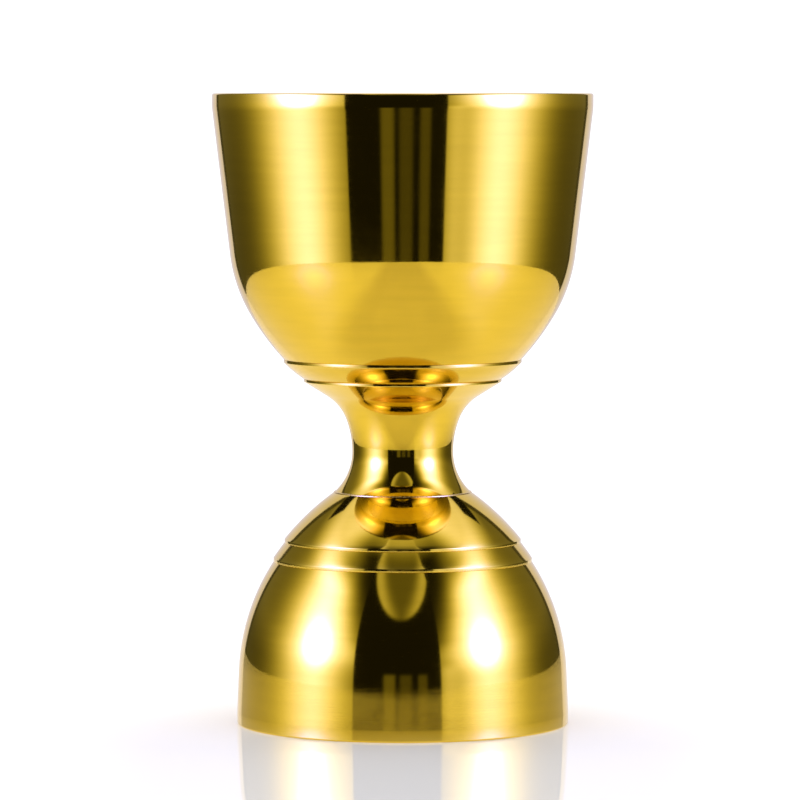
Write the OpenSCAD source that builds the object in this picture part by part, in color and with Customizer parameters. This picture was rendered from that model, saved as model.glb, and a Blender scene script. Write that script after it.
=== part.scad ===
// Double-ended bell jigger: two spun cups joined floor to floor over a hollow waist.
// The origin is the centre of the circle that the small cup's rim rests on, +Z up, millimetres.

/* [Both cups] */
// Wall thickness of the cups
cup_wall = 1; // [0.8:0.1:1.2]
// Height of the upright lip at each rim
lip_h = 1.5; // [1:0.1:2.5]
// Radius of the bend between a lip and its side
lip_turn_r = 8; // [4:0.5:12]
// Radius on the edges of both rims
rim_round = 0.3; // [0.1:0.05:0.4]
// Radius of the turn into each floor
floor_turn_r = 3; // [2:0.1:4]

/* [Large cup] */
// Rim diameter
large_rim_d = 53; // [51:0.1:55]
// Lean of the side, from upright
large_lean = 6.9; // [6:0.1:8]
// Length of the straight side
large_side = 20; // [17:0.1:23]
// Radius of the turn under the side
large_turn_r = 21.7; // [20:0.1:23]
// Angle of the turn under the side
large_turn_a = 23.3; // [22:0.1:25]
// Radius of the long underside
large_under_r = 36.3; // [33:0.1:40]
// Angle of the long underside
large_under_a = 12.4; // [11:0.1:14]
// Radius of the seat under the upper band
large_seat_r = 15.8; // [15:0.1:17]

/* [Small cup] */
// Rim diameter
small_rim_d = 46.3; // [45:0.1:48]
// Lean of the side, from upright
small_lean = 2.4; // [1:0.1:4]
// Length of the straight side
small_side = 5.6; // [4:0.1:7]
// Radius of the bell
small_turn_r = 30.1; // [29:0.1:31]
// Angle of the bell
small_turn_a = 30.7; // [30:0.1:32]
// Radius of the seat under the lower band
small_seat_r = 34.7; // [33.5:0.1:36]

/* [Laps] */
// Thickness of both bands and of each lapped edge, half the neck's wall
lap_t = 0.3; // [0.2:0.05:0.35]
// Hidden width of the laps on the bands
lap_w = 1.5; // [1:0.1:1.8]

/* [Neck and shoulder] */
// Outer diameter of the neck's flange
flange_d = 27.6; // [27.2:0.1:28.2]
// Diameter of the waist
waist_d = 14.1; // [13:0.1:15]
// Slope of the flare under the flange, from upright
flare_a = 58.1; // [57:0.1:60]
// Radius of the bend under the flare
flare_r = 6.6; // [6:0.1:7.5]
// Angle of the bend under the flare
flare_bend = 37.4; // [35:0.1:40]
// Radius of the long curve above the waist
waist_upper_r = 12.7; // [12:0.1:13.5]
// Radius of the curve below the waist
waist_lower_r = 7.7; // [7:0.1:8.5]
// Angle of the curve below the waist
waist_lower_a = 47.2; // [45:0.1:49]
// Outer diameter of the shoulder
shoulder_d = 33; // [32.6:0.1:33.4]
// Width of the brazed seam's bead on each side of the joint
seam_w = 0.28; // [0.2:0.02:0.4]
// Height of the bead
seam_h = 0.1; // [0.06:0.02:0.14]

/* [Tie rod] */
// Thread diameter
rod_d = 5; // [4:0.5:6]
// Thread pitch
rod_pitch = 0.8; // [0.7:0.05:1]
// Depth of the thread
thread_depth = 0.4; // [0.2:0.05:0.45]
// Length of rod inside each boss
rod_engaged = 4.4; // [4:0.1:4.8]
// Clearance round the rod
rod_gap = 0.05; // [0.05:0.01:0.1]
// Diameter of both bosses
boss_d = 10.4; // [9:0.1:11]
// Height of both bosses
boss_h = 5.5; // [5.2:0.1:6]
// Chamfer on the bosses, and the least plain length at each end of the rod
boss_chamfer = 0.6; // [0.3:0.1:0.8]
// Bore left past the end of the rod
bore_end = 0.5; // [0.2:0.1:0.6]

/* [Hidden] */

$fn = 144;
arc_step = 2.5;         // degrees of turn in one short straight of a profile
neck_wall = 2 * lap_t;  // of the neck and the shoulder, rebated by half where they lap
gold = [0.86, 0.69, 0.27];
dark_gold = [0.72, 0.55, 0.18];
steel = [0.72, 0.72, 0.74];

// Profiles are walked downward beside the axis, as [radius, height] points. A heading is the
// angle from straight down, positive toward the axis. A leg is [size, turn]: a straight of that
// length where turn is 0, and otherwise an arc of that radius through that turn.
function ahead(heading) = [-sin(heading), -cos(heading)];
function outward(heading) = [cos(heading), -sin(heading)];
function last(list) = list[len(list) - 1];
function reversed(list) = [for (i = [len(list) - 1 : -1 : 0]) list[i]];
function arc(centre, radius, a_from, a_to) =
    let (steps = ceil(abs(a_to - a_from) / arc_step))
    [for (i = [0 : steps]) centre + radius * outward(a_from + (a_to - a_from) * i / steps)];

function leg_points(start, heading, leg) =
    leg[1] == 0
    ? [start, start + leg[0] * ahead(heading)]
    : let (radius = sign(leg[1]) * leg[0])
      arc(start - radius * outward(heading), radius, heading, heading + leg[1]);
function walk(start, heading, legs, i = 0) =
    i == len(legs)
    ? [start]
    : let (points = leg_points(start, heading, legs[i]))
      concat([for (k = [0 : len(points) - 2]) points[k]],
             walk(last(points), heading + legs[i][1], legs, i + 1));
// The same legs on the inner face of a wall
function inset(legs, wall) =
    [for (leg = legs) leg[1] == 0 ? leg : [leg[0] - sign(leg[1]) * wall, leg[1]]];

// A seat is the arc that a cup's bands and laps lie on, all about one centre.
function seat_heading(centre, radius, r) = acos((r - centre[0]) / radius);
function seat_point(centre, radius, r) = centre + radius * outward(seat_heading(centre, radius, r));
function seat_arc(centre, radius, r_from, r_to) =
    arc(centre, radius, seat_heading(centre, radius, r_from), seat_heading(centre, radius, r_to));

// Each cup, in its own frame: mouth up, rim at height 0
large_legs = [
    [lip_h - rim_round, 0], [lip_turn_r, large_lean], [large_side, 0],
    [large_turn_r, large_turn_a], [large_under_r, large_under_a]
];
large_heading = large_lean + large_turn_a + large_under_a;
large_seat_start = last(walk([large_rim_d / 2, -rim_round], 0, large_legs));
large_centre = large_seat_start - large_seat_r * outward(large_heading);
large_band_in_r = flange_d / 2 - lap_w;

small_legs = [
    [lip_h - rim_round, 0], [lip_turn_r, small_lean], [small_side, 0], [small_turn_r, small_turn_a]
];
small_heading = small_lean + small_turn_a;
small_seat_start = last(walk([small_rim_d / 2, -rim_round], 0, small_legs));
small_centre = small_seat_start - small_seat_r * outward(small_heading);
small_band_in_r = shoulder_d / 2 - lap_w;

// The legs that close a cup, from the start of its seat to the flat of its floor
function bottom_legs(centre, radius, heading, r_end) =
    let (seat_end = seat_heading(centre, radius, r_end))
    [[radius, seat_end - heading], [floor_turn_r, 90 - seat_end]];
large_bottom = bottom_legs(large_centre, large_seat_r, large_heading, large_band_in_r);
small_bottom = bottom_legs(small_centre, small_seat_r, small_heading, small_band_in_r);

// The stack, from the small cup's rim up to the large cup's rim
crease_r = waist_d / 2 + waist_lower_r * (1 - cos(waist_lower_a));
crease_z = -seat_point(small_centre, small_seat_r + 2 * lap_t, crease_r)[1];
waist_z = crease_z + waist_lower_r * sin(waist_lower_a);
waist_upper_a = flare_a - flare_bend;
flare_r_end = waist_d / 2 + waist_upper_r * (1 - cos(waist_upper_a))
    + flare_r * (cos(waist_upper_a) - cos(flare_a));
flare_len = (flange_d / 2 - flare_r_end) / sin(flare_a);
flange_z = waist_z + waist_upper_r * sin(waist_upper_a)
    + flare_r * (sin(flare_a) - sin(waist_upper_a)) + flare_len * cos(flare_a);
large_rim_z = flange_z - seat_point(large_centre, large_seat_r + 2 * lap_t, flange_d / 2)[1];

// Where the bore of the neck's foot meets the seam's plane
foot_turn = asin(waist_lower_r * sin(waist_lower_a) / (waist_lower_r + neck_wall));
foot_bore_r = waist_d / 2 + waist_lower_r - (waist_lower_r + neck_wall) * cos(foot_turn);

// The outer face of each floor
function depth(rim_d, legs) = -last(walk([rim_d / 2, -rim_round], 0, legs))[1];
large_floor_z = large_rim_z - depth(large_rim_d, concat(large_legs, large_bottom));
small_floor_z = depth(small_rim_d, concat(small_legs, small_bottom));

// A spun cup: rounded rim, side, seat and flat floor, of one wall thickness
module cup(rim_d, legs) {
    outer = walk([rim_d / 2, -rim_round], 0, legs);
    inner = walk([rim_d / 2 - cup_wall, -rim_round], 0, inset(legs, cup_wall));
    rim = concat(
        arc([rim_d / 2 - cup_wall + rim_round, -rim_round], rim_round, -180, -90),
        arc([rim_d / 2 - rim_round, -rim_round], rim_round, -90, 0));
    rotate_extrude()
        polygon(concat(rim, outer, [[0, last(outer)[1]], [0, last(inner)[1]]], reversed(inner)));
}

// A thin band lying on a cup's seat
module band(centre, radius, r_out, r_in) {
    under = seat_arc(centre, radius, r_out, r_in);
    face = seat_arc(centre, radius + lap_t, r_in, r_out);
    rotate_extrude() polygon(concat(under, face));
}

// A round boss standing on height 0, with a blind bore from its far end
module boss() {
    bore_r = rod_d / 2 + rod_gap;
    bore_z = boss_h - rod_engaged - bore_end;
    rotate_extrude()
        polygon([
            [0, 0], [boss_d / 2, 0],
            [boss_d / 2, boss_h - boss_chamfer], [boss_d / 2 - boss_chamfer, boss_h],
            [bore_r, boss_h], [bore_r, bore_z], [0, bore_z]
        ]);
}

module in_large_cup_frame() {
    translate([0, 0, large_rim_z]) children();
}

module in_small_cup_frame() {
    mirror([0, 0, 1]) children();
}

module large_cup() {
    color(gold) in_large_cup_frame() cup(large_rim_d, concat(large_legs, large_bottom));
}

module large_cup_band() {
    color(dark_gold) in_large_cup_frame()
        band(large_centre, large_seat_r, large_seat_start[0], large_band_in_r);
}

// The hollow waist: a flange lapped over the upper band, a flare, the waist and a flared foot
module neck() {
    flange = [flange_d / 2, flange_z];
    curves = [[flare_r, -flare_bend], [waist_upper_r, -waist_upper_a]];
    foot = [waist_lower_r, -waist_lower_a];
    outer = walk(flange, flare_a, concat([[flare_len, 0]], curves, [foot]));
    inset_flange = flange - neck_wall * outward(flare_a);
    skipped = (inset_flange[0] - large_band_in_r) / sin(flare_a);
    inner_foot = [waist_lower_r + neck_wall, -foot_turn];
    inner = walk(inset_flange + skipped * ahead(flare_a), flare_a,
        concat([[flare_len - skipped, 0]], inset(curves, neck_wall), [inner_foot]));
    lap = seat_arc(large_centre + [0, large_rim_z], large_seat_r + lap_t, large_band_in_r, flange_d / 2);
    color(gold) rotate_extrude() polygon(concat(outer, reversed(inner), lap));
}

// The brazed seam: a low bead that fills the crease between the neck and the shoulder
module neck_seam() {
    on_neck = -seam_w / waist_lower_r * 180 / PI;
    on_shoulder = seam_w / small_seat_r * 180 / PI;
    neck_centre = [waist_d / 2 + waist_lower_r, waist_z];
    shoulder_r = small_seat_r + 2 * lap_t;
    crease_a = seat_heading(small_centre, shoulder_r, crease_r);
    top = neck_centre - waist_lower_r * outward(-waist_lower_a - on_neck);
    foot_down = small_centre + shoulder_r * outward(crease_a - on_shoulder);
    foot = [foot_down[0], -foot_down[1]];
    crest = (top + foot) / 2 + seam_h * outward(-(waist_lower_a + crease_a) / 2);
    color(dark_gold) rotate_extrude() polygon([[crease_r, crease_z], foot, crest, top]);
}

// The domed shoulder: lapped over the lower band, with a flat ring on top that the neck stands on
module shoulder() {
    outer_r = small_seat_r + 2 * lap_t;
    outer = seat_arc(small_centre, outer_r, shoulder_d / 2, crease_r);
    inner = seat_arc(small_centre, outer_r - neck_wall, foot_bore_r, small_band_in_r);
    lap = seat_arc(small_centre, small_seat_r + lap_t, small_band_in_r, shoulder_d / 2);
    color(gold) in_small_cup_frame() rotate_extrude()
        polygon(concat(outer, [[foot_bore_r, -crease_z]], inner, lap));
}

module small_cup_band() {
    color(dark_gold) in_small_cup_frame()
        band(small_centre, small_seat_r, small_seat_start[0], small_band_in_r);
}

module small_cup() {
    color(gold) in_small_cup_frame() cup(small_rim_d, concat(small_legs, small_bottom));
}

module large_cup_boss() {
    color(steel) translate([0, 0, large_floor_z]) mirror([0, 0, 1]) boss();
}

module small_cup_boss() {
    color(steel) translate([0, 0, small_floor_z]) boss();
}

// The threaded rod that pulls the two cups together; its thread is drawn as rings
module tie_rod() {
    low = small_floor_z + boss_h - rod_engaged;
    high = large_floor_z - boss_h + rod_engaged;
    crest_r = rod_d / 2;
    root_r = crest_r - thread_depth;
    turns = floor((high - low - 2 * boss_chamfer) / rod_pitch);
    thread_low = (low + high - turns * rod_pitch) / 2;
    thread = [for (i = [0 : turns - 1]) each [
        [root_r, thread_low + i * rod_pitch],
        [crest_r, thread_low + (i + 0.5) * rod_pitch]
    ]];
    thread_high = thread_low + turns * rod_pitch;
    top = [[root_r, thread_high], [root_r, high], [0, high]];
    color(steel) rotate_extrude() polygon(concat([[0, low], [root_r, low]], thread, top));
}

large_cup();
large_cup_band();
neck();
neck_seam();
shoulder();
small_cup_band();
small_cup();
large_cup_boss();
small_cup_boss();
tie_rod();
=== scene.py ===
# A double-ended bell jigger in gold-plated stainless steel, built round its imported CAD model.
# Profiles are in millimetres, as [radius, height] beside the axis; every mesh is in metres.
import math

import bmesh
import bpy
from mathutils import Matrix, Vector


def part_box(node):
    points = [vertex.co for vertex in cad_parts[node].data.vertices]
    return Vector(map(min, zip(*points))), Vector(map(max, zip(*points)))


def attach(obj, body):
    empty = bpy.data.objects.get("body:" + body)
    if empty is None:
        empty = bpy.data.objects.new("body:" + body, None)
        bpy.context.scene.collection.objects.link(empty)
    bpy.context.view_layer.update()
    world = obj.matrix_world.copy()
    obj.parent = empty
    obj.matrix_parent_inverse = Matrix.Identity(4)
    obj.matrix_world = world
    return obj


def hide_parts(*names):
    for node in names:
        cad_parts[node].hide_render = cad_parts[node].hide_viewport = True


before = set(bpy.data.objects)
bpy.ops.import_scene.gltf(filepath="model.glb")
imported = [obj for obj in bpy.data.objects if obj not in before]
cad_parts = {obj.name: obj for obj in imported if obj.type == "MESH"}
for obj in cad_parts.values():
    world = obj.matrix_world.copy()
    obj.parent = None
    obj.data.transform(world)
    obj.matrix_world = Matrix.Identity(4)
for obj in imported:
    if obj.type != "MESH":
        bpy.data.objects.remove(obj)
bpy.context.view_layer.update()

MM = 0.001

# ---------------------------------------------------------------- large cup
# A bowl spun from 1 mm stainless sheet over a former, with a short upright lip and a soft rim.
# It is plated gold, mirror-polished outside and left with fine turning marks inside.
large_low, large_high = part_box("large_cup")
LARGE_RIM_R = (large_high.x - large_low.x) / 2 / MM
LARGE_RIM_Z = large_high.z / MM
CUP_WALL = 1.0
LIP_HEIGHT = 1.5
RIM_ROUND = 0.3
FLOOR_TURN = 3.0
LARGE_SIDE = [(LIP_HEIGHT - RIM_ROUND, 0), (8, 6.9), (20, 0), (21.7, 23.3), (36.3, 12.4)]
LARGE_SEAT = 15.8
FLANGE_R = 13.8
LAP_WIDTH = 1.5
LAP = 0.3
FACETS = 256
# How far the paler edge gold reaches: worn plate, and also a painted edge highlight.
WEAR_AND_HIGHLIGHT_REACH = 0.5
BRIGHT_LIP_POINTS = 12


def ahead(heading):
    """A step along a profile that runs down beside the axis, heading degrees in from straight down."""
    return Vector((-math.sin(math.radians(heading)), -math.cos(math.radians(heading))))


def outward(heading):
    return Vector((math.cos(math.radians(heading)), -math.sin(math.radians(heading))))


def arc(centre, radius, start, end, step=1.0):
    steps = max(1, math.ceil(abs(end - start) / step))
    return [centre + radius * outward(start + (end - start) * i / steps) for i in range(steps + 1)]


def walk(start, heading, legs):
    """The points of a run of legs. A leg is (size, turn): a straight where turn is 0, or else an arc."""
    points = [start]
    for size, turn in legs:
        if turn == 0:
            points.append(points[-1] + size * ahead(heading))
        else:
            radius = math.copysign(size, turn)
            points += arc(points[-1] - radius * outward(heading), radius, heading, heading + turn)[1:]
        heading += turn
    return points


def inset(legs, wall):
    """The same legs on the inner face of a wall."""
    return [(size - math.copysign(wall, turn) if turn else size, turn) for size, turn in legs]


def seat_heading(centre, radius, r):
    return math.degrees(math.acos((r - centre.x) / radius))


def seat_arc(centre, radius, r_from, r_to):
    """Part of the arc that a cup's bands and laps lie on, between two distances from the axis."""
    return arc(centre, radius, seat_heading(centre, radius, r_from), seat_heading(centre, radius, r_to))


def cup_profile(rim_r, side, seat_radius, seat_inner_r):
    """The outline of a cup, mouth up with its rim at height 0, and the centre of its seat."""
    start = Vector((rim_r, -RIM_ROUND))
    heading = sum(turn for size, turn in side)
    centre = walk(start, 0, side)[-1] - seat_radius * outward(heading)
    seat_end = seat_heading(centre, seat_radius, seat_inner_r)
    legs = side + [(seat_radius, seat_end - heading), (FLOOR_TURN, 90 - seat_end)]
    outer = walk(start, 0, legs)
    inner = walk(start - Vector((CUP_WALL, 0)), 0, inset(legs, CUP_WALL))
    inner_edge = arc(inner[0] + Vector((RIM_ROUND, 0)), RIM_ROUND, -180, -90, 6)
    outer_edge = arc(start - Vector((RIM_ROUND, 0)), RIM_ROUND, -90, 0, 6)
    inside = [Vector((0, inner[-1].y))] + inner[:0:-1] + inner_edge
    outside = outer_edge[1:] + outer[1:] + [Vector((0, outer[-1].y))]
    return inside, outside, centre


def add(tree, kind, inputs=None, **settings):
    """A node of that kind: each input is set to a value or linked to a socket."""
    node = tree.nodes.new(kind)
    node.location.x = 180 * len(tree.nodes)
    for name, value in settings.items():
        setattr(node, name, value)
    for name, value in (inputs or {}).items():
        if isinstance(value, bpy.types.NodeSocket):
            tree.links.new(value, node.inputs[name])
        else:
            node.inputs[name].default_value = value
    return node


def new_tree(name, sockets):
    """A geometry tree with those named inputs and one output, and the sockets of its input node."""
    tree = bpy.data.node_groups.new(name, "GeometryNodeTree")
    for label, kind in sockets:
        tree.interface.new_socket(label, in_out="INPUT", socket_type=kind)
    tree.interface.new_socket("Piece", in_out="OUTPUT", socket_type="NodeSocketGeometry")
    return tree, add(tree, "NodeGroupInput").outputs


def finish_tree(tree, geometry, metal):
    """Closes seams and poles, and ends the tree in real faces of the given metal."""
    merged = add(tree, "GeometryNodeMergeByDistance", {"Geometry": geometry, "Distance": 0.001 * MM})
    smooth = add(tree, "GeometryNodeSetShadeSmooth", {"Geometry": merged.outputs[0]})
    real = add(tree, "GeometryNodeRealizeInstances", {"Geometry": smooth.outputs[0]})
    metal_set = add(tree, "GeometryNodeSetMaterial", {"Geometry": real.outputs[0], "Material": metal})
    add(tree, "NodeGroupOutput", {"Piece": metal_set.outputs[0]})


def made(name, mesh, tree, values):
    """Runs a tree on a mesh and keeps the result as a plain object, with its faces pointing out."""
    maker = bpy.data.objects.new(name + "_maker", mesh)
    bpy.context.scene.collection.objects.link(maker)
    modifier = maker.modifiers.new(tree.name, "NODES")
    modifier.node_group = tree
    for item in tree.interface.items_tree:
        if item.in_out == "INPUT" and item.name in values:
            modifier[item.identifier] = values[item.name]
    bpy.context.view_layer.update()
    evaluated = maker.evaluated_get(bpy.context.evaluated_depsgraph_get())
    result = bpy.data.meshes.new_from_object(evaluated)
    bpy.data.objects.remove(maker)
    faces = bmesh.new()
    faces.from_mesh(result)
    bmesh.ops.recalc_face_normals(faces, faces=faces.faces)
    faces.to_mesh(result)
    faces.free()
    result.name = name
    piece = bpy.data.objects.new(name, result)
    bpy.context.scene.collection.objects.link(piece)
    return piece


def fitted(piece, node):
    """The piece is hung on the root body and stands in for its CAD node, which is hidden."""
    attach(piece, "root")
    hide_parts(node)


# The lathe turns a profile about the axis. The profile is swept round a hub ring, since a
# ring of no radius has no direction, so its points are set back by the hub's radius.
HUB = 0.1
lathe, into = new_tree("lathe", [
    ("Profile", "NodeSocketGeometry"), ("Facets", "NodeSocketInt"),
    ("Hub", "NodeSocketFloat"), ("Metal", "NodeSocketMaterial"),
])
ring = add(lathe, "GeometryNodeCurvePrimitiveCircle", {
    "Resolution": into["Facets"], "Radius": into["Hub"]})
upright = add(lathe, "GeometryNodeSetCurveNormal", {"Curve": ring.outputs[0]}, mode="Z_UP")
edge = add(lathe, "GeometryNodeMeshToCurve", {"Mesh": into["Profile"]})
swept = add(lathe, "GeometryNodeCurveToMesh", {
    "Curve": upright.outputs[0], "Profile Curve": edge.outputs[0]})
finish_tree(lathe, swept.outputs[0], into["Metal"])


def turned(name, points, metal, z=0, closed=True, worn_and_highlit=(), satin=0, facets=FACETS):
    """A turned piece. Near the edge points it is given, the gold turns paler: wear from use, and with it a
    painted highlight along those edges.
    satin is how many of the first points lie on a face that is left with its turning marks."""
    mesh = bpy.data.meshes.new(name + "_profile")
    count = len(points)
    lines = [(i, (i + 1) % count) for i in range(count if closed else count - 1)]
    mesh.from_pydata([(p.x * MM - HUB, -(p.y + z) * MM, 0) for p in points], lines, [])
    wear_and_highlight = mesh.attributes.new("wear_and_highlight", "FLOAT", "POINT")
    inside = mesh.attributes.new("inside", "FLOAT", "POINT")
    for i, point in enumerate(points):
        gap = min(((point - Vector(edge)).length for edge in worn_and_highlit), default=math.inf)
        wear_and_highlight.data[i].value = math.exp(-(gap / WEAR_AND_HIGHLIGHT_REACH) ** 2)
        inside.data[i].value = 1.0 if i < satin else 0.0
    return made(name, mesh, lathe, {"Facets": facets, "Hub": HUB, "Metal": metal})


GOLD = (0.80, 0.56, 0.048, 1)
# The paler gold of worn edges, which also serves as a painted highlight along them.
WORN_HIGHLIT_GOLD = (0.86, 0.66, 0.16, 1)


def turning_lines(tree, width, swirl):
    """Noise drawn out into rings about the axis: width across a line, and swirl for how soon it fades
    round the piece. Radius goes in as the fourth dimension, so that flat faces get rings too."""
    place = add(tree, "ShaderNodeTexCoord").outputs["Object"]
    level = add(tree, "ShaderNodeVectorMath", {0: place, 1: (1, 1, 0)}, operation="MULTIPLY").outputs[0]
    radius = add(tree, "ShaderNodeVectorMath", {0: level}, operation="LENGTH").outputs["Value"]
    way = add(tree, "ShaderNodeVectorMath", {0: level}, operation="NORMALIZE").outputs[0]
    round_it = add(tree, "ShaderNodeVectorMath", {0: way, 1: (swirl,) * 3}, operation="MULTIPLY").outputs[0]
    height = add(tree, "ShaderNodeVectorMath", {
        0: place, 1: (0, 0, 1 / width)}, operation="MULTIPLY").outputs[0]
    spot = add(tree, "ShaderNodeVectorMath", {0: round_it, 1: height}, operation="ADD").outputs[0]
    depth = add(tree, "ShaderNodeMath", {0: radius, 1: 1 / width}, operation="MULTIPLY").outputs[0]
    lines = add(tree, "ShaderNodeTexNoise", {"Vector": spot, "W": depth, "Scale": 1.0, "Detail": 3.0},
                noise_dimensions="4D")
    return lines.outputs["Fac"]


def spread(tree, value, low, high):
    """Noise runs from about 0.3 to 0.7; this maps it to the given span."""
    mapped = add(tree, "ShaderNodeMapRange", {
        "Value": value, "From Min": 0.3, "From Max": 0.7, "To Min": low, "To Max": high})
    return mapped.outputs["Result"]


def mixed(tree, factor, first, second, kind="FLOAT"):
    node = add(tree, "ShaderNodeMix", {"Factor": factor}, data_type=kind)
    ends = [s for s in node.inputs if s.enabled and s.name in ("A", "B")]
    for socket, value in zip(ends, (first, second)):
        if isinstance(value, bpy.types.NodeSocket):
            tree.links.new(value, socket)
        else:
            socket.default_value = value
    return next(s for s in node.outputs if s.enabled)


def new_metal(name):
    metal = bpy.data.materials.new(name)
    metal.use_nodes = True
    shader = metal.node_tree.nodes["Principled BSDF"]
    shader.inputs["Metallic"].default_value = 1.0
    return metal, metal.node_tree, shader


def plated_gold(name, polish, tone):
    """Gold plate over polished steel. polish is the roughness of the bright faces, and tone scales
    the plate's colour; faces marked inside keep coarser turning marks."""
    metal, tree, shader = new_metal(name)
    colour = tuple(c * tone for c in GOLD[:3]) + (1,)
    deeper = tuple(c * tone * 0.93 for c in GOLD[:3]) + (1,)
    inside = add(tree, "ShaderNodeAttribute", attribute_name="inside").outputs["Fac"]
    wear_and_highlight = add(tree, "ShaderNodeAttribute", attribute_name="wear_and_highlight").outputs["Fac"]
    place = add(tree, "ShaderNodeTexCoord").outputs["Object"]
    fine = turning_lines(tree, 0.12 * MM, 5.0)
    broad = turning_lines(tree, 1.1 * MM, 2.0)
    smudge = add(tree, "ShaderNodeTexNoise", {"Vector": place, "Scale": 90.0, "Detail": 2.0}).outputs["Fac"]
    plate = mixed(tree, spread(tree, broad, 0.0, 1.0), colour, deeper, "RGBA")
    # Paler gold near the listed edges, patchy under the smudge noise: wear, and also a painted edge
    # highlight.
    rubbed_and_highlit = add(tree, "ShaderNodeMath", {0: wear_and_highlight, 1: spread(tree, smudge, 0.2, 0.8)}, operation="MULTIPLY")
    final = mixed(tree, rubbed_and_highlit.outputs[0], plate, WORN_HIGHLIT_GOLD, "RGBA")
    tree.links.new(final, shader.inputs["Base Color"])
    bright = add(tree, "ShaderNodeMath", {0: spread(tree, fine, -0.02, 0.02), 1: spread(
        tree, smudge, polish - 0.01, polish + 0.02)}, operation="ADD").outputs[0]
    satin = spread(tree, fine, 0.18, 0.32)
    tree.links.new(mixed(tree, inside, bright, satin), shader.inputs["Roughness"])
    shader.inputs["Anisotropic"].default_value = 0.4
    depth = mixed(tree, inside, 0.10, 1.0)
    marks = add(tree, "ShaderNodeBump", {
        "Height": fine, "Strength": depth, "Distance": 0.004 * MM})
    waves = add(tree, "ShaderNodeBump", {
        "Height": broad, "Strength": depth, "Distance": 0.012 * MM, "Normal": marks.outputs[0]})
    tree.links.new(waves.outputs[0], shader.inputs["Normal"])
    return metal


bright_gold = plated_gold("bright_gold_plate", 0.055, 1.0)
large_inside, large_outside, large_centre = cup_profile(
    LARGE_RIM_R, LARGE_SIDE, LARGE_SEAT, FLANGE_R - LAP_WIDTH)
large_seat_r = walk(Vector((LARGE_RIM_R, -RIM_ROUND)), 0, LARGE_SIDE)[-1].x
# The rim's edge takes the paler gold of wear and a painted highlight.
large_cup = turned(
    "large_cup_shell", large_inside + large_outside, bright_gold, z=LARGE_RIM_Z, closed=False,
    worn_and_highlit=[(LARGE_RIM_R - RIM_ROUND, 0)], satin=len(large_inside) - BRIGHT_LIP_POINTS)
fitted(large_cup, "large_cup")

# ---------------------------------------------------------------- large cup band
# A thin plated ring sweated onto the underside of the large cup, where it makes the first step
# in the outline. Its edges are broken so that the step catches a fine line of light.
BAND_EDGE = 0.13
FINE_EDGE = 0.04
SHARP = 20


def softened(loop, first=BAND_EDGE, others=FINE_EDGE, closed=True):
    """Rounds every sharp corner of a profile, and its first point, the visible edge, the most."""
    points = []
    for i, corner in enumerate(loop):
        back = loop[i - 1] - corner
        on = loop[(i + 1) % len(loop)] - corner
        corner_angle = back.angle(on)
        at_an_end = not closed and i in (0, len(loop) - 1)
        if at_an_end or 180 - math.degrees(corner_angle) < SHARP:
            points.append(corner)
            continue
        room = 0.45 * min(back.length, on.length)
        reach = min(room, (first if i == 0 else others) / math.tan(corner_angle / 2))
        radius = reach * math.tan(corner_angle / 2)
        middle = (back.normalized() + on.normalized()).normalized()
        centre = corner + middle * radius / math.sin(corner_angle / 2)
        start = corner + back.normalized() * reach - centre
        turn = math.pi - corner_angle
        side = 1 if back.x * on.y - back.y * on.x < 0 else -1
        steps = max(2, round(math.degrees(turn) / 12))
        for k in range(steps + 1):
            angle = math.atan2(start.y, start.x) + side * turn * k / steps
            points.append(centre + radius * Vector((math.cos(angle), math.sin(angle))))
    return points


def band_profile(centre, radius, r_out, r_in):
    """A band on a seat, from its visible edge along its face and back under it."""
    return softened(seat_arc(centre, radius + LAP, r_out, r_in) + seat_arc(centre, radius, r_in, r_out))


band_gold = plated_gold("band_gold_plate", 0.07, 0.97)
large_band_points = band_profile(large_centre, LARGE_SEAT, large_seat_r, FLANGE_R - LAP_WIDTH)
large_band = turned(
    "large_cup_ring", large_band_points, band_gold, z=LARGE_RIM_Z, worn_and_highlit=[large_band_points[0]])
fitted(large_band, "large_cup_band")

# ---------------------------------------------------------------- small cup
# The smaller measure, spun like the large one, and the foot the jigger stands on when it is this
# way up. It shares the large cup's wall, lip and rim, and is drawn mouth up, then turned over.
small_low, small_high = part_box("small_cup")
SMALL_RIM_R = (small_high.x - small_low.x) / 2 / MM
SMALL_SIDE = [(LIP_HEIGHT - RIM_ROUND, 0), (8, 2.4), (5.6, 0), (30.1, 30.7)]
SMALL_SEAT = 34.7
SHOULDER_R = 16.5


def turned_over(points):
    return [Vector((p.x, -p.y)) for p in points]


small_inside, small_outside, small_centre = cup_profile(
    SMALL_RIM_R, SMALL_SIDE, SMALL_SEAT, SHOULDER_R - LAP_WIDTH)
small_seat_r = walk(Vector((SMALL_RIM_R, -RIM_ROUND)), 0, SMALL_SIDE)[-1].x
small_cup = turned(
    "small_cup_shell", turned_over(small_inside + small_outside), bright_gold, closed=False,
    worn_and_highlit=[(SMALL_RIM_R - RIM_ROUND, 0)], satin=len(small_inside) - BRIGHT_LIP_POINTS)
fitted(small_cup, "small_cup")

# ---------------------------------------------------------------- small cup band
# The matching plated ring on the small cup, which makes the lowest step in the outline.
small_band_points = turned_over(
    band_profile(small_centre, SMALL_SEAT, small_seat_r, SHOULDER_R - LAP_WIDTH))
small_band = turned("small_cup_ring", small_band_points, band_gold, worn_and_highlit=[small_band_points[0]])
fitted(small_band, "small_cup_band")

# ---------------------------------------------------------------- neck
# The hollow waist, turned and plated: a flange lapped over the upper ring, a steep flare, the
# slim grip between finger and thumb, and a foot that spreads onto the shoulder.
WAIST_R = 7.05
NECK_WALL = 2 * LAP
FLARE_ANGLE = 58.1
FLARE_R = 6.6
FLARE_BEND = 37.4
UPPER_R = 12.7
LOWER_R = 7.7
LOWER_ANGLE = 47.2

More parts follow.
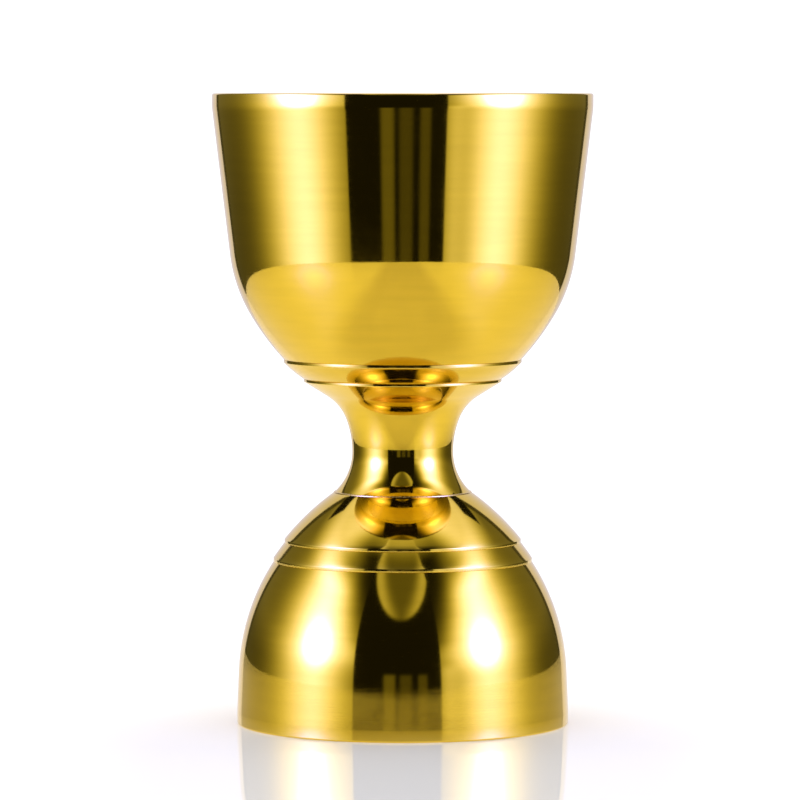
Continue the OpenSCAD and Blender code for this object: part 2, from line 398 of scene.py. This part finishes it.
crease_r = WAIST_R + LOWER_R * (1 - math.cos(math.radians(LOWER_ANGLE)))
crease_z = -seat_arc(small_centre, SMALL_SEAT + NECK_WALL, crease_r, crease_r)[0].y
waist_z = crease_z + LOWER_R * math.sin(math.radians(LOWER_ANGLE))
upper_angle = FLARE_ANGLE - FLARE_BEND
neck_curves = [(FLARE_R, -FLARE_BEND), (UPPER_R, -upper_angle)]
flange_z = LARGE_RIM_Z + seat_arc(large_centre, LARGE_SEAT + NECK_WALL, FLANGE_R, FLANGE_R)[0].y
flange = Vector((FLANGE_R, flange_z))
curves_run = walk(Vector((0, 0)), FLARE_ANGLE, neck_curves)[-1]
flare_length = (FLANGE_R - WAIST_R + curves_run.x) / math.sin(math.radians(FLARE_ANGLE))
neck_outer = walk(flange, FLARE_ANGLE, [(flare_length, 0)] + neck_curves + [(LOWER_R, -LOWER_ANGLE)])
foot_turn = math.degrees(math.asin(
    LOWER_R * math.sin(math.radians(LOWER_ANGLE)) / (LOWER_R + NECK_WALL)))
bore_start = flange - NECK_WALL * outward(FLARE_ANGLE)
skipped = (bore_start.x - (FLANGE_R - LAP_WIDTH)) / math.sin(math.radians(FLARE_ANGLE))
neck_inner = walk(
    bore_start + skipped * ahead(FLARE_ANGLE), FLARE_ANGLE,
    [(flare_length - skipped, 0)] + inset(neck_curves, NECK_WALL) + [(LOWER_R + NECK_WALL, -foot_turn)])
neck_lap = seat_arc(
    large_centre + Vector((0, LARGE_RIM_Z)), LARGE_SEAT + LAP, FLANGE_R - LAP_WIDTH, FLANGE_R)
neck_points = softened(neck_outer + neck_inner[::-1] + neck_lap)
neck = turned("waist_shell", neck_points, bright_gold, worn_and_highlit=[neck_points[0]])
fitted(neck, "neck")

# ---------------------------------------------------------------- shoulder
# The dome under the waist, pressed from the same sheet: it laps over the lower ring and has a
# flat land on top where the foot of the neck is brazed down.
foot_bore_r = neck_inner[-1].x
small_outer_r = SMALL_SEAT + NECK_WALL
shoulder_points = turned_over(softened(
    seat_arc(small_centre, small_outer_r, SHOULDER_R, crease_r)
    + [Vector((foot_bore_r, -crease_z))]
    + seat_arc(small_centre, SMALL_SEAT, foot_bore_r, SHOULDER_R - LAP_WIDTH)
    + seat_arc(small_centre, SMALL_SEAT + LAP, SHOULDER_R - LAP_WIDTH, SHOULDER_R)))
shoulder = turned("shoulder_shell", shoulder_points, bright_gold, worn_and_highlit=[shoulder_points[0]])
fitted(shoulder, "shoulder")

# ---------------------------------------------------------------- neck seam
# The thin fillet of braze that joins the neck to the shoulder. It was flowed on by hand, so it
# swells and thins as it goes round, and it stays a little rough under the plate.
BEAD_R = 0.2
BEAD_SET_IN = 0.085
BEAD_SWELL = 0.3
BEAD_LUMPS = 900.0
BEAD_STEPS = 720
BEAD_SIDES = 14
BRAZE_DARK = (0.74, 0.50, 0.10, 1)
BRAZE_LIGHT = (0.86, 0.66, 0.24, 1)

bead_tree, into = new_tree("braze_bead", [
    ("Start", "NodeSocketGeometry"), ("Radius", "NodeSocketFloat"), ("Height", "NodeSocketFloat"),
    ("Bead", "NodeSocketFloat"), ("Swell", "NodeSocketFloat"), ("Lumps", "NodeSocketFloat"),
    ("Metal", "NodeSocketMaterial"),
])
seam_path = add(bead_tree, "GeometryNodeCurvePrimitiveCircle", {
    "Resolution": BEAD_STEPS, "Radius": into["Radius"]})
lift = add(bead_tree, "ShaderNodeCombineXYZ", {"Z": into["Height"]})
raised = add(bead_tree, "GeometryNodeSetPosition", {
    "Geometry": seam_path.outputs[0], "Offset": lift.outputs[0]})
lumps = add(bead_tree, "ShaderNodeTexNoise", {"Scale": into["Lumps"], "Detail": 2.0, "W": 4.0},
            noise_dimensions="4D")
thick = add(bead_tree, "ShaderNodeMath", {0: 1.0, 1: into["Swell"]}, operation="ADD").outputs[0]
thin = add(bead_tree, "ShaderNodeMath", {0: 1.0, 1: into["Swell"]}, operation="SUBTRACT").outputs[0]
swelling = spread(bead_tree, lumps.outputs["Fac"], thin, thick)
sized = add(bead_tree, "GeometryNodeSetCurveRadius", {"Curve": raised.outputs[0], "Radius": swelling})
bead_round = add(bead_tree, "GeometryNodeCurvePrimitiveCircle", {
    "Resolution": BEAD_SIDES, "Radius": into["Bead"]})
bead_swept = add(bead_tree, "GeometryNodeCurveToMesh", {
    "Curve": sized.outputs[0], "Profile Curve": bead_round.outputs[0]})
finish_tree(bead_tree, bead_swept.outputs[0], into["Metal"])

braze, tree, shader = new_metal("braze_under_plate")
ripple = turning_lines(tree, 0.25 * MM, 60.0)
tree.links.new(
    mixed(tree, spread(tree, ripple, 0, 1), BRAZE_DARK, BRAZE_LIGHT, "RGBA"), shader.inputs["Base Color"])
tree.links.new(spread(tree, ripple, 0.16, 0.34), shader.inputs["Roughness"])
pits = add(tree, "ShaderNodeBump", {"Height": ripple, "Strength": 0.5, "Distance": 0.02 * MM})
tree.links.new(pits.outputs[0], shader.inputs["Normal"])

seam = made("waist_braze", bpy.data.meshes.new("bead_start"), bead_tree, {
    "Radius": (crease_r - BEAD_SET_IN) * MM, "Height": (crease_z - BEAD_SET_IN) * MM,
    "Bead": BEAD_R * MM, "Swell": BEAD_SWELL, "Lumps": BEAD_LUMPS, "Metal": braze})
fitted(seam, "neck_seam")

# ---------------------------------------------------------------- bosses
# Two plain steel bosses brazed to the outer faces of the cup floors, hidden inside the waist.
# Each is turned, chamfered at its free end and bored to take one end of the tie rod.
BOSS_R = 5.2
BOSS_HEIGHT = 5.5
BOSS_CHAMFER = 0.6
ROD_R = 2.5
ROD_GAP = 0.05
ROD_ENGAGED = 4.4
BORE_END = 0.5
BOSS_EDGE = 0.12
BOSS_DARK = (0.50, 0.50, 0.52, 1)
BOSS_LIGHT = (0.64, 0.63, 0.62, 1)

boss_bore_z = BOSS_HEIGHT - ROD_ENGAGED - BORE_END
boss_outline = [Vector(p) for p in [
    (0, 0), (BOSS_R, 0), (BOSS_R, BOSS_HEIGHT - BOSS_CHAMFER), (BOSS_R - BOSS_CHAMFER, BOSS_HEIGHT),
    (ROD_R + ROD_GAP, BOSS_HEIGHT), (ROD_R + ROD_GAP, boss_bore_z), (0, boss_bore_z)]]

turned_steel, tree, shader = new_metal("turned_steel")
tool_marks = turning_lines(tree, 0.2 * MM, 1.5)
tree.links.new(
    mixed(tree, spread(tree, tool_marks, 0, 1), BOSS_DARK, BOSS_LIGHT, "RGBA"), shader.inputs["Base Color"])
tree.links.new(spread(tree, tool_marks, 0.24, 0.42), shader.inputs["Roughness"])
cuts = add(tree, "ShaderNodeBump", {"Height": tool_marks, "Strength": 0.6, "Distance": 0.01 * MM})
tree.links.new(cuts.outputs[0], shader.inputs["Normal"])

boss_points = softened(boss_outline, others=BOSS_EDGE, closed=False)
large_boss_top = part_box("large_cup_boss")[1].z / MM
small_boss_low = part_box("small_cup_boss")[0].z / MM
large_boss = turned(
    "large_cup_stud_boss", turned_over(boss_points), turned_steel, z=large_boss_top, closed=False)
small_boss = turned(
    "small_cup_stud_boss", boss_points, turned_steel, z=small_boss_low, closed=False)
fitted(large_boss, "large_cup_boss")
fitted(small_boss, "small_cup_boss")

# ---------------------------------------------------------------- tie rod
# A length of M5 studding that screws into both bosses and pulls the two cups hard against the
# waist. Its thread is a real helix that runs out before each end.
PITCH = 0.8
THREAD_DEPTH = 0.4
THREAD_ROWS = 12
THREAD_COLUMNS = 49
FLANK = (0.12, 0.85)
RUNOUT_TURNS = (0.4, 1.2)
END_ROW = 0.001
STUD_DARK = (0.58, 0.59, 0.60, 1)
STUD_LIGHT = (0.70, 0.69, 0.66, 1)

thread_tree, into = new_tree("screw_thread", [
    ("Start", "NodeSocketGeometry"), ("Length", "NodeSocketFloat"), ("Bottom", "NodeSocketFloat"),
    ("Crest", "NodeSocketFloat"), ("Depth", "NodeSocketFloat"), ("Pitch", "NodeSocketFloat"),
    ("Rows", "NodeSocketInt"), ("Metal", "NodeSocketMaterial"),
])


def maths(tree, operation, first, second=0.0, third=0.0):
    return add(tree, "ShaderNodeMath", {0: first, 1: second, 2: third}, operation=operation).outputs[0]


sheet = add(thread_tree, "GeometryNodeMeshGrid", {
    "Size X": 1.0, "Size Y": 1.0, "Vertices X": THREAD_COLUMNS, "Vertices Y": into["Rows"]})
grid_place = add(thread_tree, "GeometryNodeInputPosition").outputs[0]
spot = add(thread_tree, "ShaderNodeSeparateXYZ", {"Vector": grid_place})
around = maths(thread_tree, "ADD", spot.outputs["X"], 0.5)
along = maths(thread_tree, "ADD", spot.outputs["Y"], 0.5)
height = maths(thread_tree, "MULTIPLY", along, into["Length"])
turns = maths(thread_tree, "DIVIDE", height, into["Pitch"])
phase = maths(thread_tree, "FRACT", maths(thread_tree, "SUBTRACT", turns, around))
saw = maths(thread_tree, "ABSOLUTE", maths(thread_tree, "MULTIPLY_ADD", phase, 2.0, -1.0))
flat = add(thread_tree, "ShaderNodeMapRange", {
    "Value": saw, "From Min": FLANK[0], "From Max": FLANK[1],
    "To Min": 0.0, "To Max": 1.0}).outputs["Result"]
from_end = maths(thread_tree, "MINIMUM", turns, maths(
    thread_tree, "SUBTRACT", maths(thread_tree, "DIVIDE", into["Length"], into["Pitch"]), turns))
runout = add(thread_tree, "ShaderNodeMapRange", {
    "Value": from_end, "From Min": RUNOUT_TURNS[0], "From Max": RUNOUT_TURNS[1],
    "To Min": 1.0, "To Max": 0.0}).outputs["Result"]
cut = maths(thread_tree, "MULTIPLY", maths(thread_tree, "MAXIMUM", flat, runout), into["Depth"])
full = maths(thread_tree, "SUBTRACT", into["Crest"], cut)
capped = maths(thread_tree, "MULTIPLY", full, maths(thread_tree, "GREATER_THAN", from_end, END_ROW))
angle = maths(thread_tree, "MULTIPLY", around, math.tau)
thread_point = add(thread_tree, "ShaderNodeCombineXYZ", {
    "X": maths(thread_tree, "MULTIPLY", capped, maths(thread_tree, "COSINE", angle)),
    "Y": maths(thread_tree, "MULTIPLY", capped, maths(thread_tree, "SINE", angle)),
    "Z": maths(thread_tree, "ADD", height, into["Bottom"])})
wrapped = add(thread_tree, "GeometryNodeSetPosition", {
    "Geometry": sheet.outputs["Mesh"], "Position": thread_point.outputs[0]})
finish_tree(thread_tree, wrapped.outputs[0], into["Metal"])

stud_steel, tree, shader = new_metal("stud_steel")
rolled = turning_lines(tree, 0.15 * MM, 4.0)
tree.links.new(
    mixed(tree, spread(tree, rolled, 0, 1), STUD_DARK, STUD_LIGHT, "RGBA"), shader.inputs["Base Color"])
tree.links.new(spread(tree, rolled, 0.20, 0.36), shader.inputs["Roughness"])

rod_low, rod_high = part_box("tie_rod")
rod_length = rod_high.z - rod_low.z
rod_rows = round(rod_length / MM / PITCH * THREAD_ROWS)
rod = made("threaded_tie_rod", bpy.data.meshes.new("thread_start"), thread_tree, {
    "Length": rod_length, "Bottom": rod_low.z, "Crest": ROD_R * MM, "Depth": THREAD_DEPTH * MM,
    "Pitch": PITCH * MM, "Rows": rod_rows, "Metal": stud_steel})
fitted(rod, "tie_rod")

# ---------------------------------------------------------------- studio
# The jigger stands on a sheet of glossy white acrylic inside a round light tent. Two tube lamps
# glow through the tent's sides, its front is open under a dark hood, and a white sheet hangs
# behind. Only what shines can see the tent; the floor is lit by the white room round it.
TENT_RADIUS = 0.4
TENT_CENTRE_Z = 0.044
TENT_TURN = 1.3
LAMP_SIDE = 62.7
LAMP_FOOT = 12
LAMP_LEAN = 0.012
LAMP_GLOW = 1.75
LAMP_WIDTH_FRONT = 23
LAMP_WIDTH_BACK = 27
TUBE_GLOW = 3
TUBE_HEIGHT = 11
HOOD_SIDE = 32.6
HOOD_BEND = 16
HOOD_SOFTNESS = 4.5
OPENING_LEFT = -32.3
OPENING_RIGHT = 27.5
DARK = 0.01
STRIPS = [(-7.7, 4, 0.13), (3.3, 4.2, 0.065), (14.8, 3.2, 0.08)]
COOLEST = 2.7
CARD_GLOW = 0.45
CARD_SIDE = 32
BACK_SHEET_GLOW = 0.8
SEAM_GLOW = 0.07
BACK_EDGE = 147
SEAM_EDGE = 142
GAP_EDGE = 131
BACK_TOP = 37
ROOF_EDGE = 46


def bump_curve(distance, width):
    return math.exp(-(distance / width) ** 2)


def rise(value, low, high):
    """0 up to low, 1 from high on, and a smooth step between."""
    part = min(1, max(0, (value - low) / (high - low)))
    return part * part * (3 - 2 * part)


def side_glow(away, height):
    """The side of the tent: a lamp leaning back as it rises, cloth it lights, and the hood's shade."""
    over_foot = max(0, height - LAMP_FOOT)
    past = away - LAMP_SIDE - LAMP_LEAN * over_foot ** 2
    if past < 0:
        width = LAMP_WIDTH_FRONT + 0.4 * min(10, max(0, height))
    else:
        width = LAMP_WIDTH_BACK + 0.15 * over_foot
    strength = LAMP_GLOW + 0.7 * rise(height, -4, 9) - 0.35 * rise(height, 14, 34)
    lit = strength * (1 - 0.88 * rise(height, 38, 54)) * bump_curve(past, width)
    tube = TUBE_GLOW * bump_curve(past, 9) * bump_curve(height - TUBE_HEIGHT, 7)
    cloth = 0.08 + 0.09 * rise(height, -4, 8)
    slope = 0.53 if height > HOOD_BEND else 1.5
    hood = HOOD_SIDE + slope * (height - HOOD_BEND)
    return DARK + (lit + tube + cloth) / (1 + math.exp((hood - away) / HOOD_SOFTNESS))


def front_glow(side, height):
    """The open front: faint upright strips low down, and two pale folds of the hood above."""
    strips = sum(glow * math.exp(-((side - middle) / half) ** 6) for middle, half, glow in STRIPS)
    folds = 0.12 + 0.45 * bump_curve(abs(side) - 12 - 0.62 * (height - 32), 7)
    hood = rise(height - 28 - 0.028 * side ** 2, 0, 3)
    return DARK + strips * (1 - rise(height, -1.5, 1)) + folds * hood


def tent_glow(side, height):
    """How bright the tent is in a direction: degrees round from its front, and above level."""
    away = abs(side)
    if away > GAP_EDGE and BACK_TOP < height < ROOF_EDGE:
        return DARK
    if away > BACK_EDGE and height <= BACK_TOP:
        return BACK_SHEET_GLOW
    if away > SEAM_EDGE and height <= BACK_TOP:
        return SEAM_GLOW
    roof = 0.85 * rise(height, 32, 52) * rise(away, 60, 100) + 0.6 * rise(height, 60, 80)
    if OPENING_LEFT < side < OPENING_RIGHT:
        return front_glow(side, height) + roof
    card = CARD_GLOW * bump_curve(side - CARD_SIDE, 7) * (1 - rise(height, 0, 6))
    return side_glow(away, height) + card + roof


def tent_colour(level):
    """Gold swallows blue, so only a bright, cool light looks white in it: the tubes are made cool."""
    cool = min(level, COOLEST)
    return level, 0.92 * level + 0.04 * cool ** 2, 0.4 * level + 1.15 * cool ** 3, 1


def staged(name, mesh, material):
    mesh.materials.append(material)
    item = bpy.data.objects.new(name, mesh)
    bpy.context.scene.collection.objects.link(item)
    return item


def tent_point(side, height):
    round_it = math.radians(side - TENT_TURN)
    level = TENT_RADIUS * math.cos(math.radians(height))
    up = TENT_RADIUS * math.sin(math.radians(height))
    return level * math.sin(round_it), -level * math.cos(round_it), TENT_CENTRE_Z + up


SIDES = list(range(-180, 181))
HEIGHTS = list(range(-90, 91))
tent_places = [(side, height) for height in HEIGHTS for side in SIDES]
tent_mesh = bpy.data.meshes.new("tent")
tent_mesh.from_pydata([tent_point(side, height) for side, height in tent_places], [], [
    (j * len(SIDES) + i, j * len(SIDES) + i + 1, (j + 1) * len(SIDES) + i + 1, (j + 1) * len(SIDES) + i)
    for j in range(len(HEIGHTS) - 1) for i in range(len(SIDES) - 1)])
glow = tent_mesh.attributes.new("glow", "FLOAT_COLOR", "POINT")
for point, (side, height) in zip(glow.data, tent_places):
    point.color = tent_colour(tent_glow(side, height))
tent_cloth = bpy.data.materials.new("tent_cloth")
tent_cloth.use_nodes = True
cloth_tree = tent_cloth.node_tree
cloth_tree.nodes.clear()
lit = add(cloth_tree, "ShaderNodeAttribute", attribute_name="glow").outputs["Color"]
shine = add(cloth_tree, "ShaderNodeEmission", {"Color": lit})
add(cloth_tree, "ShaderNodeOutputMaterial", {"Surface": shine.outputs[0]})
tent = staged("light_tent", tent_mesh, tent_cloth)
tent.visible_camera = False
tent.visible_diffuse = False
tent.visible_shadow = False


def disc(name, radius, centre_y=0.0, drop=0.0):
    mesh = bpy.data.meshes.new(name)
    faces = bmesh.new()
    bmesh.ops.create_circle(faces, cap_ends=True, radius=radius, segments=128)
    bmesh.ops.translate(faces, verts=faces.verts, vec=(0, centre_y, -drop))
    faces.to_mesh(mesh)
    faces.free()
    return mesh


# What the metal mirrors below it is the acrylic sheet; what the eye sees is a floor of the same
# white, polished where it mirrors the jigger's front, and matt everywhere else.
SHEET_R = 0.25
SHEET_BACK = 0.02
SHEET_DROP = 0.00005
SHEET_COLOUR = (0.92, 0.85, 0.72, 1)
FLOOR_R = 0.39
FLOOR_COLOUR = (0.95, 0.94, 0.97, 1)
FLOOR_GLOSS = 0.42
POLISHED_LONG = (0.17, 0.3)
POLISHED_WIDE = (0.03, 0.06)
POLISHED_BACK = (-0.03, 0.03)
acrylic = bpy.data.materials.new("white_acrylic")
acrylic.use_nodes = True
acrylic_shader = acrylic.node_tree.nodes["Principled BSDF"]
acrylic_shader.inputs["Base Color"].default_value = SHEET_COLOUR
acrylic_shader.inputs["Roughness"].default_value = 0.08
table = staged("acrylic_sheet", disc("acrylic_sheet", SHEET_R, SHEET_BACK, SHEET_DROP), acrylic)
table.visible_camera = False
table.visible_diffuse = False

floor_white = bpy.data.materials.new("floor_white")
floor_white.use_nodes = True
floor_tree = floor_white.node_tree
floor_tree.nodes.clear()
floor_place = add(floor_tree, "ShaderNodeTexCoord").outputs["Object"]
on_floor = add(floor_tree, "ShaderNodeSeparateXYZ", {"Vector": floor_place}).outputs


def fading(tree, value, reach):
    """1 up to the first distance of the reach, and down to 0 at the second."""
    full, none = reach
    return add(tree, "ShaderNodeMapRange", {
        "Value": value, "From Min": full, "From Max": none, "To Min": 1.0, "To Max": 0.0},
        interpolation_type="SMOOTHSTEP").outputs["Result"]


in_front = maths(floor_tree, "MULTIPLY", on_floor["Y"], -1.0)
aside = maths(floor_tree, "ABSOLUTE", on_floor["X"])
polished = maths(floor_tree, "MULTIPLY", fading(floor_tree, in_front, POLISHED_LONG), FLOOR_GLOSS)
polished = maths(floor_tree, "MULTIPLY", polished, fading(floor_tree, aside, POLISHED_WIDE))
polished = maths(floor_tree, "MULTIPLY", polished, fading(floor_tree, on_floor["Y"], POLISHED_BACK))
matt = add(floor_tree, "ShaderNodeBsdfDiffuse", {"Color": FLOOR_COLOUR})
gloss = add(floor_tree, "ShaderNodeBsdfGlossy", {"Color": (1, 1, 1, 1), "Roughness": 0.02})
surface = add(floor_tree, "ShaderNodeMixShader", {
    0: polished, 1: matt.outputs[0], 2: gloss.outputs[0]})
add(floor_tree, "ShaderNodeOutputMaterial", {"Surface": surface.outputs[0]})
floor = staged("floor", disc("floor", FLOOR_R), floor_white)
floor.visible_glossy = False

world = bpy.data.worlds.new("studio")
bpy.context.scene.world = world
world.use_nodes = True
room = world.node_tree.nodes["Background"]
room.inputs["Color"].default_value = (1, 1, 1, 1)
room.inputs["Strength"].default_value = 1.3
bpy.context.scene.view_settings.view_transform = "Standard"

# ---------------------------------------------------------------- camera
# A long lens level with the large cup's rim, tipped down a little so that the whole jigger fits.
CAMERA_DISTANCE = 0.700
CAMERA_TILT = 3.49
CAMERA_ASIDE = -0.000376
LENS = 226.4
SENSOR = 36
camera_data = bpy.data.cameras.new("camera")
camera_data.lens = LENS
camera_data.sensor_width = SENSOR
camera = bpy.data.objects.new("camera", camera_data)
camera.location = (CAMERA_ASIDE, -CAMERA_DISTANCE, LARGE_RIM_Z * MM)
camera.rotation_euler = (math.radians(90 - CAMERA_TILT), 0, 0)
bpy.context.scene.collection.objects.link(camera)
bpy.context.scene.camera = camera
